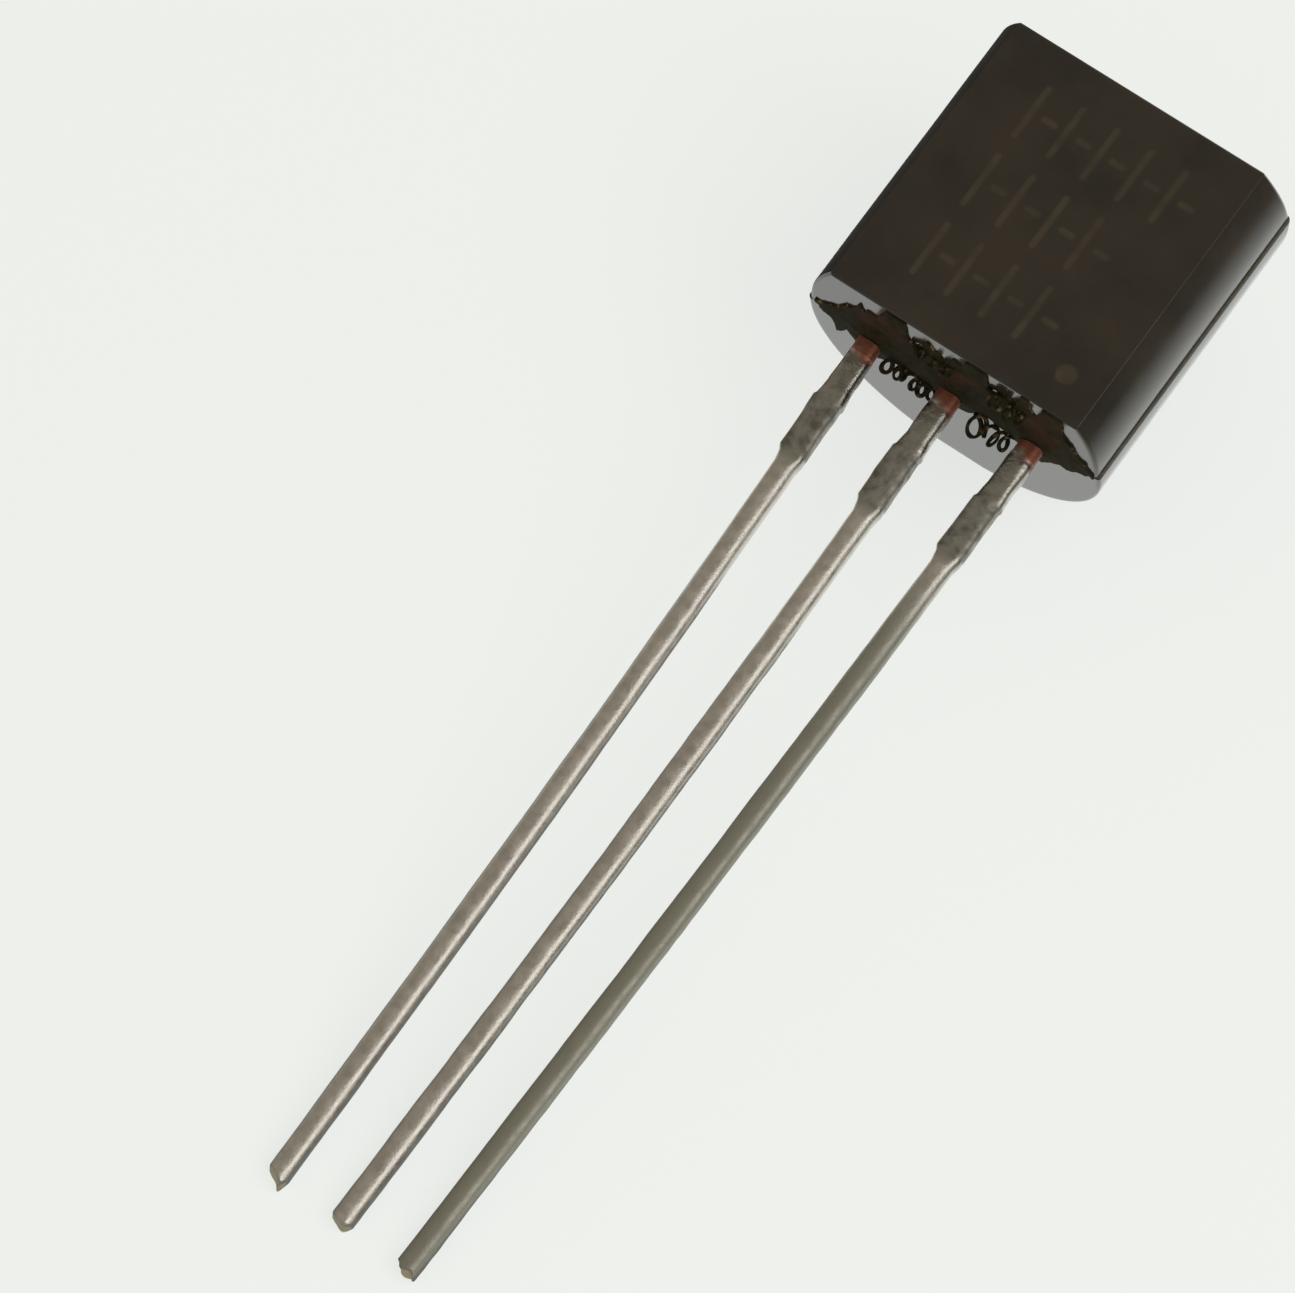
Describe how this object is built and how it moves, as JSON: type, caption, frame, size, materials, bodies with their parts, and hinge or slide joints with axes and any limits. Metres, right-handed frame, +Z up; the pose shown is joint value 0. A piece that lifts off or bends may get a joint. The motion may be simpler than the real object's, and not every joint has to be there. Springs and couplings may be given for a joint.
{
  "type": "voltage reference chip",
  "caption": "Round-backed black plastic chip package with a flat face, lying on its back, with a row of long tinned leads out of its lower end.",
  "frame": {"origin": "on the table, under the middle of the whole part as it lies on its round back and its lead tips", "axes": "+Z up from the table; +Y along the part from the lead tips to the top of the body; +X across the row of leads, towards the right lead as seen with the flat face up and the leads towards the viewer"},
  "size_m": [0.0046, 0.0178, 0.0042],
  "materials": {
    "moulding_compound": "satin",
    "tinned_copper_alloy": "satin",
    "silicon": "polished",
    "die_adhesive": "matte",
    "bond_wire": "polished"
  },
  "bodies": {
    "root": {"moulded_body": "moulding_compound", "left_lead": "tinned_copper_alloy", "centre_lead_with_paddle": "tinned_copper_alloy", "right_lead": "tinned_copper_alloy", "die": "silicon", "die_adhesive": "die_adhesive", "bond_wire_to_right_lead": "bond_wire", "bond_wire_to_paddle": "bond_wire"}
  },
  "joints": []
}
